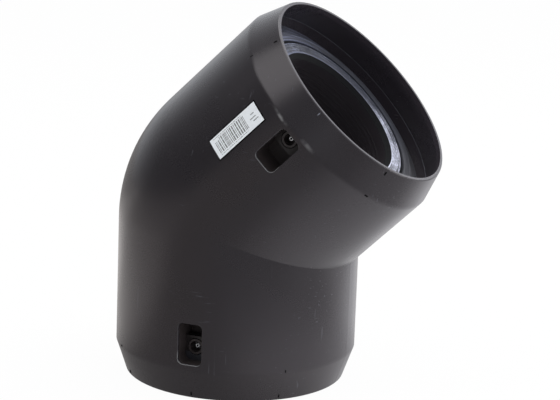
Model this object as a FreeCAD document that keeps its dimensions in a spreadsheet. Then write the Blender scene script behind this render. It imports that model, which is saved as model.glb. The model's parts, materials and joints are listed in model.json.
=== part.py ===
import FreeCAD, Part

import math
import os
import re

import Sketcher

# Forty-five-degree elbow for pre-insulated plastic pipe, standing on its lower mouth.
# Origin: centre of the lower mouth. +Z runs up the lower arm, +X is the side the upper arm leans to,
# and the heating terminals face -Y. Lengths are millimetres and angles are degrees.
#
# Each end also has a frame of its own: local Z runs from the mouth into the elbow along the arm, and
# local -Y is the terminal side. Both ends are made by the same functions, each in its own frame.

NODE_FOLDER = "parts"
ENDS = ("lower", "upper")

# Driving sizes: name, value, and what it measures.
SIZES = [
    ("bend_angle", 45, "angle between the two arms"),
    ("leg_length", 207.9, "mouth to the crossing of the two arm axes"),
    ("jacket_radius", 142.5, "outer radius of the jacket"),
    ("jacket_wall", 4, "wall of the jacket"),
    ("thick_wall", 7, "wall of the jacket round its bend"),
    ("thick_margin", 3.25, "terminal well to where the jacket's wall starts to thicken"),
    ("thick_slope", 8, "length over which the jacket's wall thickens"),
    ("taper_drop", 12.3, "how much the jacket's radius narrows to a mouth"),
    ("taper_length", 36.3, "length of a tapered mouth"),
    ("land_length", 6, "straight land inside the lip of a mouth"),
    ("lip_chamfer", 0.8, "broken outer edge of a lip"),
    ("jacket_pivot", 56.4, "arm axis to the line that the jacket's bend turns about"),
    ("window_width", 29, "terminal window, around the jacket"),
    ("window_length", 48.5, "terminal window, along the arm"),
    ("window_corner", 6, "corner radius of a window"),
    ("window_place", 67, "mouth to the middle of a window"),
    ("window_shift", 2.8, "terminal's plane to the middle of a window, towards the inside of the bend"),
    ("window_rounding", 1.2, "rounded edge of a window"),
    ("socket_face", 39.5, "mouth to the face of the pipe socket"),
    ("socket_wall", 20.4, "wall of a pipe socket; leaves a bore for pipe of 160 outside"),
    ("socket_lead", 5.4, "lead-in chamfer of a socket"),
    ("stop_length", 14.13, "pipe stop to the start of the bend"),
    ("socket_edge", 0.8, "broken outer edge of a socket's face"),
    ("neck_length", 10, "length over which the socket's outside narrows to the bend"),
    ("neck_step", 11, "how much the outside narrows from a socket to the bend"),
    ("bend_wall", 24, "wall of the inner elbow round the water passage"),
    ("elbow_bend", 160, "centre-line radius of the inner elbow"),
    ("flange_width", 21.5, "jacket's bore to the sleeve of a centring ring"),
    ("ring_wall", 12, "thickness of a centring ring's sleeve at its front"),
    ("ring_groove", 4, "groove between a centring ring's front and the socket"),
    ("ring_length", 30.7, "length of a centring ring's sleeve"),
    ("ring_edge", 1, "broken front edge of a centring ring"),
    ("flange_step", 10, "front of a centring ring to its flange"),
    ("flange_thickness", 3, "thickness of a centring ring's flange"),
    ("seat_gap", 0.2, "clearance round a seated piece"),
    ("well_wall", 2, "wall of a terminal well"),
    ("well_margin", 1.5, "edge of a window to the inside of its well"),
    ("terminal_place", 57.5, "mouth to the axis of a terminal"),
    ("shroud_radius", 9.2, "outer radius of a terminal shroud"),
    ("shroud_bore", 6.6, "bore radius of a terminal shroud"),
    ("shroud_height", 16.5, "height of a shroud above the outside of its socket"),
    ("shroud_floor", 3, "outside of the socket to the floor of a shroud"),
    ("shroud_gap", 1, "clearance round a shroud in its centring ring"),
    ("pin_radius", 2.35, "radius of a terminal pin"),
    ("pin_recess", 5.6, "top of a shroud to the tip of its pin"),
    ("pin_hole", 1.1, "radius of the blind hole in a pin's tip"),
    ("pin_hole_depth", 6, "depth of the hole in a pin's tip"),
    ("wire_radius", 0.8, "radius of the heating wire"),
    ("step_radius", 0.6, "radius of the wire where it steps to its next turn"),
    ("wire_cover", 0.8, "bore of a socket to the centre of the wire"),
    ("wire_margin", 15, "last turn of the wire to the pipe stop"),
    ("turns", 11, "full turns of wire in a socket"),
    ("turn_start", 4, "terminal's plane to the start of a turn, as an angle"),
    ("turn_step", 8, "angle over which the wire steps to its next turn"),
    ("label_length", 72.5, "label, along the upper arm"),
    ("label_width", 25.3, "label, around the jacket"),
    ("label_thickness", 0.25, "thickness of the label"),
    ("label_gap", 0.1, "glue under the label"),
    ("label_place", 92.3, "mouth to the middle of the label"),
    ("label_turn", 18.4, "terminal's plane to the middle of the label, as an angle"),
]

# Sizes that follow from the driving sizes.
JACKET_BORE = "(jacket_radius - jacket_wall)"
BEND_BORE = "(jacket_radius - thick_wall)"
MOUTH_RADIUS = "(jacket_radius - taper_drop)"
MOUTH_BORE = f"({MOUTH_RADIUS} - jacket_wall)"
RING_RADIUS = f"({JACKET_BORE} - flange_width)"
RING_BORE = f"({RING_RADIUS} - ring_wall)"
SOCKET_RADIUS = f"({RING_BORE} - ring_groove)"
SOCKET_BORE = f"({SOCKET_RADIUS} - socket_wall)"
ELBOW_RADIUS = f"({SOCKET_RADIUS} - neck_step)"
FLOW_RADIUS = f"({ELBOW_RADIUS} - bend_wall)"
ARM_END = "(leg_length - jacket_pivot * tan(bend_angle / 2))"
BEND_START = "(leg_length - elbow_bend * tan(bend_angle / 2))"
PIPE_STOP = f"({BEND_START} - stop_length)"
NECK_START = f"({BEND_START} - neck_length)"
FLANGE_FACE = "(socket_face + flange_step)"
FLANGE_BACK = f"({FLANGE_FACE} + flange_thickness)"
RING_END = "(socket_face + ring_length)"
SHROUD_TOP = f"({SOCKET_RADIUS} + shroud_height)"
PIN_TIP = f"({SHROUD_TOP} - pin_recess)"
WIRE_CENTRE = f"({SOCKET_BORE} + wire_cover)"
PIN_ROOT = f"({WIRE_CENTRE} + wire_radius)"
WELL_WIDTH = "(window_width + 2 * (well_margin + well_wall))"
WELL_LENGTH = "(window_length + 2 * (well_margin + well_wall))"
WELL_CORNER = "(window_corner + well_margin + well_wall)"
THICK_START = f"(window_place + {WELL_LENGTH} / 2 + thick_margin)"
THICK_END = f"({THICK_START} + thick_slope)"
LAST_TURN = f"({PIPE_STOP} - wire_margin)"
TURN_PITCH = f"(({LAST_TURN} - terminal_place) / turns)"
DEGREES_IN_RADIAN = "57.29577951308232"

NAMES = re.compile(r"\b(" + "|".join(name for name, _, _ in SIZES) + r")\b")

document = FreeCAD.newDocument("Elbow45")
sheet = document.addObject("Spreadsheet::Sheet", "Sizes")


def fill_sheet():
    """Write the driving sizes into the sheet, one row each, with an alias on the value."""
    for row, (name, value, meaning) in enumerate(SIZES, start=1):
        sheet.set(f"A{row}", name)
        sheet.set(f"B{row}", str(value))
        sheet.setAlias(f"B{row}", name)
        sheet.set(f"C{row}", meaning)
    document.recompute()


def on_sheet(formula):
    """The formula with each size named as a cell of the sheet."""
    return NAMES.sub(r"Sizes.\1", formula)


def value_of(formula):
    return float(sheet.evalExpression(on_sheet(formula)))


def bind(thing, path, formula):
    thing.setExpression(path, on_sheet(formula))


def vector(x, y, z):
    return f"create(<<vector>>; {x}; {y}; {z})"


def turned(axis, angle, base=("0", "0", "0")):
    """A placement at base, turned by angle about axis."""
    return f"create(<<placement>>; {vector(*base)}; create(<<rotation>>; {vector(*axis)}; {angle}))"


X_AXIS = (1, 0, 0)
Y_AXIS = (0, 1, 0)
Z_AXIS = (0, 0, 1)
UPPER_MOUTH = ("leg_length * sin(bend_angle)", "0", "leg_length * (1 + cos(bend_angle))")
END_FRAME = {
    "lower": turned(Z_AXIS, "0"),
    "upper": turned(Y_AXIS, "180 + bend_angle", UPPER_MOUTH),
}
# The inside of the bend is at local +X on the lower end and at local -X on the upper one.
INSIDE = {"lower": "1", "upper": "-1"}


def set_in_end(thing, end, local=None):
    """Place a body or a primitive in the frame of an end."""
    frame = END_FRAME[end]
    bind(thing, "Placement", frame if local is None else f"{frame} * {local}")


def new_body(label):
    body = document.addObject("PartDesign::Body", label)
    body.Label = label
    return body


def new_sketch(body, plane, name, shift=("0", "0", "0"), turn="0"):
    """A sketch on one of the body's origin planes, moved in that plane's own axes."""
    sketch = body.newObject("Sketcher::SketchObject", name)
    support = [item for item in body.Origin.OriginFeatures if item.Role == plane][0]
    sketch.AttachmentSupport = (support, [""])
    sketch.MapMode = "FlatFace"
    sketch.AttachmentOffset = FreeCAD.Placement(
        FreeCAD.Vector(0, 0, 0), FreeCAD.Rotation(FreeCAD.Vector(0, 0, 1), value_of(turn))
    )
    for axis, formula in zip("xyz", shift):
        bind(sketch, f"AttachmentOffset.Base.{axis}", formula)
    bind(sketch, "AttachmentOffset.Rotation.Angle", turn)
    return sketch


def arm_sketch(body, end, name, lift="0"):
    """A sketch through an arm's axis: its V axis is the arm, its normal points to the terminals."""
    if end == "lower":
        return new_sketch(body, "XZ_Plane", f"{name}_{end}", ("0", "0", lift))
    shift = (UPPER_MOUTH[0], UPPER_MOUTH[2], lift)
    return new_sketch(body, "XZ_Plane", f"{name}_{end}", shift, "180 - bend_angle")


def dimension(sketch, kind, places, name, formula):
    """Add a dimension to a sketch and bind it to the sheet."""
    index = sketch.addConstraint(Sketcher.Constraint(kind, *places, value_of(formula)))
    sketch.renameConstraint(index, name)
    bind(sketch, f"Constraints.{name}", formula)


def draw_outline(sketch, corners):
    """A closed outline of straight lines through corners given as pairs of formulas."""
    points = [FreeCAD.Vector(value_of(x), value_of(y), 0) for x, y in corners]
    count = len(points)
    for index in range(count):
        sketch.addGeometry(Part.LineSegment(points[index], points[(index + 1) % count]))
    for index in range(count):
        sketch.addConstraint(Sketcher.Constraint("Coincident", index, 2, (index + 1) % count, 1))
    for index, (x, y) in enumerate(corners):
        dimension(sketch, "DistanceX", (-1, 1, index, 1), f"across_{index}", x)
        dimension(sketch, "DistanceY", (-1, 1, index, 1), f"along_{index}", y)


def draw_circle(sketch, radius, x="0", y="0"):
    centre = FreeCAD.Vector(value_of(x), value_of(y), 0)
    circle = Part.Circle(centre, FreeCAD.Vector(0, 0, 1), value_of(radius))
    sketch.addGeometry(circle)
    dimension(sketch, "DistanceX", (-1, 1, 0, 3), "centre_across", x)
    dimension(sketch, "DistanceY", (-1, 1, 0, 3), "centre_along", y)
    dimension(sketch, "Radius", (0,), "radius", radius)


def draw_rounded_rectangle(sketch, middle, width, length, corner):
    """A rectangle with rounded corners, centred on middle."""
    x, y = (value_of(formula) for formula in middle)
    half_width = value_of(width) / 2
    half_length = value_of(length) / 2
    radius = value_of(corner)
    inner_x = half_width - radius
    inner_y = half_length - radius
    # Each side is a line and the corner arc that follows it, counter-clockwise from the bottom.
    ends = [
        ((-inner_x, -half_length), (inner_x, -half_length)),
        ((half_width, -inner_y), (half_width, inner_y)),
        ((inner_x, half_length), (-inner_x, half_length)),
        ((-half_width, inner_y), (-half_width, -inner_y)),
    ]
    centres = [(inner_x, -inner_y), (inner_x, inner_y), (-inner_x, inner_y), (-inner_x, -inner_y)]
    for side in range(4):
        start, finish = (FreeCAD.Vector(x + u, y + v, 0) for u, v in ends[side])
        sketch.addGeometry(Part.LineSegment(start, finish))
        middle_u, middle_v = centres[side]
        circle = Part.Circle(FreeCAD.Vector(x + middle_u, y + middle_v, 0), FreeCAD.Vector(0, 0, 1), radius)
        first = math.radians(-90 + 90 * side)
        sketch.addGeometry(Part.ArcOfCircle(circle, first, first + math.pi / 2))
    for side in range(4):
        line = 2 * side
        arc = line + 1
        sketch.addConstraint(Sketcher.Constraint("Tangent", line, 2, arc, 1))
        sketch.addConstraint(Sketcher.Constraint("Tangent", arc, 2, (line + 2) % 8, 1))
        sketch.addConstraint(Sketcher.Constraint("Vertical" if side % 2 else "Horizontal", line))
        if side:
            sketch.addConstraint(Sketcher.Constraint("Equal", 1, arc))
    dimension(sketch, "Radius", (1,), "corner", corner)
    dimension(sketch, "DistanceY", (-1, 1, 0, 1), "bottom", f"{middle[1]} - ({length}) / 2")
    dimension(sketch, "DistanceX", (-1, 1, 2, 1), "right", f"{middle[0]} + ({width}) / 2")
    dimension(sketch, "DistanceY", (-1, 1, 4, 1), "top", f"{middle[1]} + ({length}) / 2")
    dimension(sketch, "DistanceX", (-1, 1, 6, 1), "left", f"{middle[0]} - ({width}) / 2")


def turn_solid(body, sketch, name, angle="360", cut=False, midplane=False):
    """Turn a sketch about its V axis, adding to the body or cutting it."""
    feature = body.newObject("PartDesign::Groove" if cut else "PartDesign::Revolution", name)
    feature.Profile = sketch
    feature.ReferenceAxis = (sketch, ["V_Axis"])
    feature.Midplane = midplane
    bind(feature, "Angle", angle)
    return feature


def pad(body, sketch, name, length):
    feature = body.newObject("PartDesign::Pad", name)
    feature.Profile = sketch
    bind(feature, "Length", length)
    return feature


def pocket(body, sketch, name, length, outward=True):
    """Cut from the sketch's plane, outward along its normal or inward against it."""
    feature = body.newObject("PartDesign::Pocket", name)
    feature.Profile = sketch
    feature.Reversed = outward
    bind(feature, "Length", length)
    return feature


def turn_arms(body, name, corners, cut=False):
    """Turn the same outline about each arm's axis. Corners are radius and distance from the mouth."""
    for end in ENDS:
        sketch = arm_sketch(body, end, f"{name}_outline")
        draw_outline(sketch, corners)
        turn_solid(body, sketch, f"{name}_{end}", cut=cut)


def turn_jacket_bend(body, name, radius, cut=False):
    """The outer side of the jacket's bend: a disc, cut off at the pivot line, turned about that line.

    The pivot line lies inside the section, so the inside of the bend stays a sharp mitre of the arms.
    """
    sketch = new_sketch(body, "XY_Plane", f"{name}_section", ("jacket_pivot", "0", ARM_END))
    reach = value_of("jacket_pivot")
    size = value_of(radius)
    first = math.acos(reach / size)
    circle = Part.Circle(FreeCAD.Vector(-reach, 0, 0), FreeCAD.Vector(0, 0, 1), size)
    sketch.addGeometry(Part.ArcOfCircle(circle, first, 2 * math.pi - first))
    half_chord = math.sqrt(size * size - reach * reach)
    chord_ends = [FreeCAD.Vector(0, side * half_chord, 0) for side in (-1, 1)]
    sketch.addGeometry(Part.LineSegment(*chord_ends))
    sketch.addConstraint(Sketcher.Constraint("Coincident", 0, 2, 1, 1))
    sketch.addConstraint(Sketcher.Constraint("Coincident", 1, 2, 0, 1))
    sketch.addConstraint(Sketcher.Constraint("PointOnObject", 1, 1, -2))
    sketch.addConstraint(Sketcher.Constraint("PointOnObject", 1, 2, -2))
    sketch.addConstraint(Sketcher.Constraint("PointOnObject", 0, 3, -1))
    dimension(sketch, "DistanceX", (-1, 1, 0, 3), "reach", "-jacket_pivot")
    dimension(sketch, "Radius", (0,), "radius", radius)
    turn_solid(body, sketch, name, "bend_angle", cut)


def turn_pipe_bend(body, name, radius, cut=False):
    """The bend of the inner elbow: a circle turned about the centre of its centre line."""
    sketch = new_sketch(body, "XY_Plane", f"{name}_section", ("elbow_bend", "0", BEND_START))
    draw_circle(sketch, radius, x="-elbow_bend")
    turn_solid(body, sketch, name, "bend_angle", cut)


def window_middle(end):
    return (f"{INSIDE[end]} * window_shift", "window_place")


def round_window_edges(body, base):
    """Round the outer edges of both windows: the edges on the jacket's outside that a window cut."""
    document.recompute()
    outside = value_of("jacket_radius")
    half_width = value_of("window_width") * 0.51
    half_length = value_of("window_length") * 0.51
    names = []
    for index, edge in enumerate(base.Shape.Edges, start=1):
        point = edge.valueAt((edge.FirstParameter + edge.LastParameter) / 2)
        for end in ENDS:
            frame = sheet.evalExpression(on_sheet(END_FRAME[end]))
            local = frame.inverse().multVec(point)
            across = abs(local.x - value_of(window_middle(end)[0]))
            along = abs(local.z - value_of("window_place"))
            on_skin = abs(math.hypot(local.x, local.y) - outside) < outside * 1e-4
            in_window = across < half_width and along < half_length
            if on_skin and in_window and local.y < 0:
                names.append(f"Edge{index}")
    fillet = body.newObject("PartDesign::Fillet", "window_rounding")
    fillet.Base = (base, names)
    bind(fillet, "Radius", "window_rounding")


def make_outer_jacket():
    """The black jacket: two straight arms with tapered mouths, a rounded back and a sharp crotch.

    The wall is thin where the windows and the mouths are, and thicker round the bend.
    """
    body = new_body("outer_jacket")
    turn_arms(body, "outside", [
        ("0", "0"),
        (f"{MOUTH_RADIUS} - lip_chamfer", "0"),
        (MOUTH_RADIUS, "lip_chamfer"),
        ("jacket_radius", "taper_length"),
        ("jacket_radius", ARM_END),
        ("0", ARM_END),
    ])
    turn_jacket_bend(body, "outside_bend", "jacket_radius")
    turn_arms(body, "inside", [
        ("0", "0"),
        (MOUTH_BORE, "0"),
        (MOUTH_BORE, "land_length"),
        (JACKET_BORE, "taper_length"),
        (JACKET_BORE, THICK_START),
        (BEND_BORE, THICK_END),
        (BEND_BORE, ARM_END),
        ("0", ARM_END),
    ], cut=True)
    turn_jacket_bend(body, "inside_bend", BEND_BORE, cut=True)
    for end in ENDS:
        sketch = arm_sketch(body, end, "window_outline")
        draw_rounded_rectangle(sketch, window_middle(end), "window_width", "window_length", "window_corner")
        last = pocket(body, sketch, f"window_{end}", "jacket_radius + jacket_wall")
    round_window_edges(body, last)
    return body


def make_insulation_foam():
    """The foam between the inner elbow and the jacket, with a hole for each terminal well."""
    body = new_body("insulation_foam")
    turn_arms(body, "outside", [
        ("0", FLANGE_BACK),
        (JACKET_BORE, FLANGE_BACK),
        (JACKET_BORE, THICK_START),
        (BEND_BORE, THICK_END),
        (BEND_BORE, ARM_END),
        ("0", ARM_END),
    ])
    turn_jacket_bend(body, "outside_bend", BEND_BORE)
    turn_arms(body, "inside", [
        ("0", FLANGE_BACK),
        (RING_RADIUS, FLANGE_BACK),
        (RING_RADIUS, RING_END),
        (SOCKET_RADIUS, RING_END),
        (SOCKET_RADIUS, NECK_START),
        (ELBOW_RADIUS, BEND_START),
        ("0", BEND_START),
    ], cut=True)
    turn_pipe_bend(body, "inside_bend", ELBOW_RADIUS, cut=True)
    for end in ENDS:
        sketch = arm_sketch(body, end, "well_outline")
        draw_rounded_rectangle(sketch, window_middle(end), WELL_WIDTH, WELL_LENGTH, WELL_CORNER)
        pocket(body, sketch, f"well_{end}", "jacket_radius")
    return body


def wire_grooves():
    """Outline corners of a square groove for each turn of the wire, along a socket's bore."""
    corners = []
    for turn in range(int(value_of("turns"))):
        place = f"terminal_place + {turn} * {TURN_PITCH}"
        corners += [
            (SOCKET_BORE, f"{place} - wire_radius"),
            (PIN_ROOT, f"{place} - wire_radius"),
            (PIN_ROOT, f"{place} + wire_radius"),
            (SOCKET_BORE, f"{place} + wire_radius"),
        ]
    return corners


def cut_step_slot(body, end):
    """The slot in which the turns of the wire step over, beside the terminal."""
    sketch = arm_sketch(body, end, "step_slot_outline")
    near = f"-{INSIDE[end]} * ({WIRE_CENTRE} * sin(turn_start) - wire_radius)"
    far = f"-{INSIDE[end]} * ({WIRE_CENTRE} * sin(turn_start + turn_step) + wire_radius)"
    first = "terminal_place - wire_radius"
    last = f"{LAST_TURN} + wire_radius"
    draw_outline(sketch, [(near, first), (near, last), (far, last), (far, first)])
    pocket(body, sketch, f"step_slot_{end}", PIN_ROOT)


def make_elbow_blank():
    """The inner elbow before the link wire's channel: sockets, bend and shrouds in one moulding."""
    body = new_body("elbow_blank")
    turn_arms(body, "outside", [
        ("0", "socket_face"),
        (f"{SOCKET_RADIUS} - socket_edge", "socket_face"),
        (SOCKET_RADIUS, "socket_face + socket_edge"),
        (SOCKET_RADIUS, NECK_START),
        (ELBOW_RADIUS, BEND_START),
        ("0", BEND_START),
    ])
    turn_pipe_bend(body, "outside_bend", ELBOW_RADIUS)
    for end in ENDS:
        shroud = arm_sketch(body, end, "shroud_circle")
        draw_circle(shroud, "shroud_radius", y="terminal_place")
        pad(body, shroud, f"shroud_{end}", SHROUD_TOP)
    turn_arms(body, "bore", [
        ("0", "socket_face"),
        (f"{SOCKET_BORE} + socket_lead", "socket_face"),
        (SOCKET_BORE, "socket_face + socket_lead"),
        *wire_grooves(),
        (SOCKET_BORE, PIPE_STOP),
        (FLOW_RADIUS, PIPE_STOP),
        (FLOW_RADIUS, BEND_START),
        ("0", BEND_START),
    ], cut=True)
    turn_pipe_bend(body, "bore_bend", FLOW_RADIUS, cut=True)
    for end in ENDS:
        cut_step_slot(body, end)
        shroud_bore = arm_sketch(body, end, "shroud_bore_circle", f"{SOCKET_RADIUS} + shroud_floor")
        draw_circle(shroud_bore, "shroud_bore", y="terminal_place")
        pocket(body, shroud_bore, f"shroud_bore_{end}", "shroud_height")
        pin_seat = arm_sketch(body, end, "pin_circle", PIN_ROOT)
        draw_circle(pin_seat, "pin_radius", y="terminal_place")
        pocket(body, pin_seat, f"pin_seat_{end}", f"{SHROUD_TOP} - {PIN_ROOT}")
    return body


def make_inner_elbow(link):
    """The water-carrying elbow, with a channel in its wall for the link wire."""
    elbow = document.addObject("Part::Cut", "inner_elbow")
    elbow.Base = make_elbow_blank()
    elbow.Tool = link
    elbow.Label = "inner_elbow"
    return elbow


def make_centring_ring(end):
    """A ring that holds a socket in the middle of the jacket and closes off the foam.

    Its flange is left open on the terminal side, where the well stands.
    """
    body = new_body(f"centring_ring_{end}")
    sleeve = new_sketch(body, "YZ_Plane", "sleeve_outline")
    draw_outline(sleeve, [
        (RING_BORE, "socket_face"),
        (f"{RING_RADIUS} - ring_edge", "socket_face"),
        (RING_RADIUS, "socket_face + ring_edge"),
        (RING_RADIUS, RING_END),
        (f"{SOCKET_RADIUS} + seat_gap", RING_END),
        (f"{SOCKET_RADIUS} + seat_gap", FLANGE_FACE),
        (RING_BORE, FLANGE_FACE),
    ])
    turn_solid(body, sleeve, "sleeve")
    flange = new_sketch(body, "YZ_Plane", "flange_outline")
    inside_sleeve = f"({RING_BORE} + {RING_RADIUS}) / 2"
    draw_outline(flange, [
        (inside_sleeve, FLANGE_FACE),
        (f"{JACKET_BORE} - seat_gap", FLANGE_FACE),
        (f"{JACKET_BORE} - seat_gap", FLANGE_BACK),
        (inside_sleeve, FLANGE_BACK),
    ])
    half_opening = f"({WELL_WIDTH} / 2 + window_shift + seat_gap)"
    turn_solid(body, flange, "flange", f"360 deg - 2 * asin({half_opening} / {RING_RADIUS})", midplane=True)
    hole = new_sketch(body, "XZ_Plane", "shroud_hole_circle")
    draw_circle(hole, "shroud_radius + shroud_gap", y="terminal_place")
    pocket(body, hole, "shroud_hole", "jacket_radius")
    set_in_end(body, end)
    return body


def make_terminal_well(end):
    """The frame behind a window that keeps foam off the terminal, from the socket to the jacket."""
    body = new_body(f"terminal_well_{end}")
    middle = window_middle(end)
    outline = new_sketch(body, "XZ_Plane", "outer_outline", ("0", "0", SOCKET_BORE))
    draw_rounded_rectangle(outline, middle, WELL_WIDTH, WELL_LENGTH, WELL_CORNER)
    pad(body, outline, "frame", f"jacket_radius - {SOCKET_BORE}")
    opening = new_sketch(body, "XZ_Plane", "inner_outline", ("0", "0", SOCKET_BORE))
    draw_rounded_rectangle(
        opening, middle, f"{WELL_WIDTH} - 2 * well_wall", f"{WELL_LENGTH} - 2 * well_wall",
        "window_corner + well_margin",
    )
    pocket(body, opening, "opening", "jacket_radius")
    start = f"(window_place - {WELL_LENGTH} / 2 - well_wall)"
    finish = f"(window_place + {WELL_LENGTH} / 2 + well_wall)"
    seat = new_sketch(body, "YZ_Plane", "seat_outline")
    draw_outline(seat, [
        ("0", start),
        (f"{RING_RADIUS} + seat_gap", start),
        (f"{RING_RADIUS} + seat_gap", f"{RING_END} + seat_gap"),
        (f"{SOCKET_RADIUS} + seat_gap", f"{RING_END} + seat_gap"),
        (f"{SOCKET_RADIUS} + seat_gap", finish),
        ("0", finish),
    ])
    turn_solid(body, seat, "seat", cut=True)
    skin = new_sketch(body, "YZ_Plane", "skin_outline")
    draw_outline(skin, [
        (JACKET_BORE, start),
        ("2 * jacket_radius", start),
        ("2 * jacket_radius", finish),
        (JACKET_BORE, finish),
    ])
    turn_solid(body, skin, "skin", cut=True)
    set_in_end(body, end)
    return body


def make_terminal_pin(end):
    """The contact pin of a terminal, from the first turn of the wire to just inside the shroud."""
    body = new_body(f"terminal_pin_{end}")
    sketch = new_sketch(body, "XZ_Plane", "pin_circle", ("0", "0", PIN_ROOT))
    draw_circle(sketch, "pin_radius", y="terminal_place")
    pad(body, sketch, "pin", f"{PIN_TIP} - {PIN_ROOT}")
    sketch = new_sketch(body, "XZ_Plane", "tip_circle", ("0", "0", PIN_TIP))
    draw_circle(sketch, "pin_hole", y="terminal_place")
    pocket(body, sketch, "tip_hole", "pin_hole_depth", outward=False)
    set_in_end(body, end)
    return body


def primitive(kind, label, **formulas):
    thing = document.addObject(kind, label)
    for path, formula in formulas.items():
        bind(thing, path, formula)
    return thing


def turn_angle(end, beyond):
    """Direction in an end's frame, beyond the terminal's plane on the side away from the bend's inside."""
    return f"(-90 - {INSIDE[end]} * ({beyond}))"


def make_heating_coil(end):
    """The wire in a socket: flat turns, each stepping over to the next beside the terminal."""
    label = f"heating_coil_{end}"
    pieces = []
    chord = f"(2 * {WIRE_CENTRE} * sin(turn_step / 2))"
    step_start = turn_angle(end, "turn_start + turn_step")
    arc_start = f"-90 + turn_step / 2 - {INSIDE[end]} * (turn_start + turn_step / 2)"
    for turn in range(int(value_of("turns"))):
        place = f"(terminal_place + {turn} * {TURN_PITCH})"
        arc = primitive("Part::Torus", f"{label}_turn_{turn}", Radius1=WIRE_CENTRE, Radius2="wire_radius",
                        Angle3="360 - turn_step")
        set_in_end(arc, end, turned(Z_AXIS, arc_start, ("0", "0", place)))
        step = primitive("Part::Cylinder", f"{label}_step_{turn}", Radius="step_radius",
                         Height=f"sqrt({chord} * {chord} + {TURN_PITCH} * {TURN_PITCH}) + wire_radius")
        step_point = (f"{WIRE_CENTRE} * cos{step_start}", f"{WIRE_CENTRE} * sin{step_start}", place)
        heading = turned(Z_AXIS, f"-{INSIDE[end]} * (turn_start + turn_step / 2)", step_point)
        lean = turned(Y_AXIS, f"{INSIDE[end]} * atan({chord} / {TURN_PITCH})")
        back = turned(Z_AXIS, "0", ("0", "0", "-wire_radius"))
        set_in_end(step, end, f"{heading} * {lean} * {back}")
        pieces += [arc, step]
    coil = document.addObject("Part::MultiFuse", label)
    coil.Shapes = pieces
    coil.Label = label
    return coil


def make_link_wire():
    """The wire that joins the two coils, along the terminal side of the inner elbow's wall."""
    start = f"({LAST_TURN} + wire_radius)"
    pieces = []
    for end in ENDS:
        run = primitive("Part::Cylinder", f"link_run_{end}", Radius="wire_radius",
                        Height=f"{BEND_START} - {start}")
        heading = turn_angle(end, "turn_start")
        point = (f"{WIRE_CENTRE} * cos{heading}", f"{WIRE_CENTRE} * sin{heading}", start)
        set_in_end(run, end, turned(Z_AXIS, "0", point))
        pieces.append(run)
    arc = primitive("Part::Torus", "link_arc", Radius1=f"elbow_bend + {WIRE_CENTRE} * sin(turn_start)",
                    Radius2="wire_radius", Angle3="bend_angle")
    upright = turned(X_AXIS, "90", ("elbow_bend", f"-{WIRE_CENTRE} * cos(turn_start)", BEND_START))
    bind(arc, "Placement", upright + " * " + turned(Z_AXIS, "180 - bend_angle"))
    pieces.append(arc)
    link = document.addObject("Part::MultiFuse", "link_wire")
    link.Shapes = pieces
    link.Label = "link_wire"
    return link


def make_label():
    """The white label on the upper arm, bent to the jacket."""
    body = new_body("pipe_label")
    sketch = new_sketch(body, "YZ_Plane", "label_outline")
    underside = "(jacket_radius + label_gap)"
    draw_outline(sketch, [
        (f"-({underside} + label_thickness)", "label_place - label_length / 2"),
        (f"-{underside}", "label_place - label_length / 2"),
        (f"-{underside}", "label_place + label_length / 2"),
        (f"-({underside} + label_thickness)", "label_place + label_length / 2"),
    ])
    turn_solid(body, sketch, "label", f"label_width / jacket_radius * {DEGREES_IN_RADIAN}", midplane=True)
    set_in_end(body, "upper", turned(Z_AXIS, "label_turn"))
    return body


def check_cuts():
    """Every cut has to take something away."""
    for thing in document.Objects:
        if thing.TypeId in ("PartDesign::Pocket", "PartDesign::Groove"):
            removed = thing.BaseFeature.Shape.Volume - thing.Shape.Volume
            if removed <= 0:
                raise RuntimeError(f"{thing.Label} in {thing.getParent()} cuts nothing")


def check_objects(pieces):
    """Every object is computed, and each piece is one valid solid."""
    for thing in document.Objects:
        if "Invalid" in thing.State or "Error" in thing.State:
            raise RuntimeError(f"{thing.Label} failed: {thing.State} {thing.getStatusString()}")
    for piece in pieces:
        shape = piece.Shape
        if shape.isNull() or not shape.isValid() or len(shape.Solids) != 1:
            raise RuntimeError(f"{piece.Label} isn't one valid solid")


def write_pieces(pieces):
    os.makedirs(NODE_FOLDER, exist_ok=True)
    for piece in pieces:
        piece.Shape.exportStep(os.path.join(NODE_FOLDER, f"{piece.Label}.step"))
        print(f"{piece.Label}: {piece.Shape.Volume:.1f} mm3")


def main():
    fill_sheet()
    coils = [make_heating_coil(end) for end in ENDS]
    link = make_link_wire()
    pieces = [make_outer_jacket(), make_insulation_foam(), make_inner_elbow(link)]
    for end in ENDS:
        pieces += [make_centring_ring(end), make_terminal_well(end), make_terminal_pin(end)]
    pieces += coils + [link, make_label()]
    document.recompute()
    check_objects(pieces)
    check_cuts()
    write_pieces(pieces)


main()
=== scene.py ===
import json
import math
import random

import bpy
from mathutils import Matrix, Vector


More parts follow.
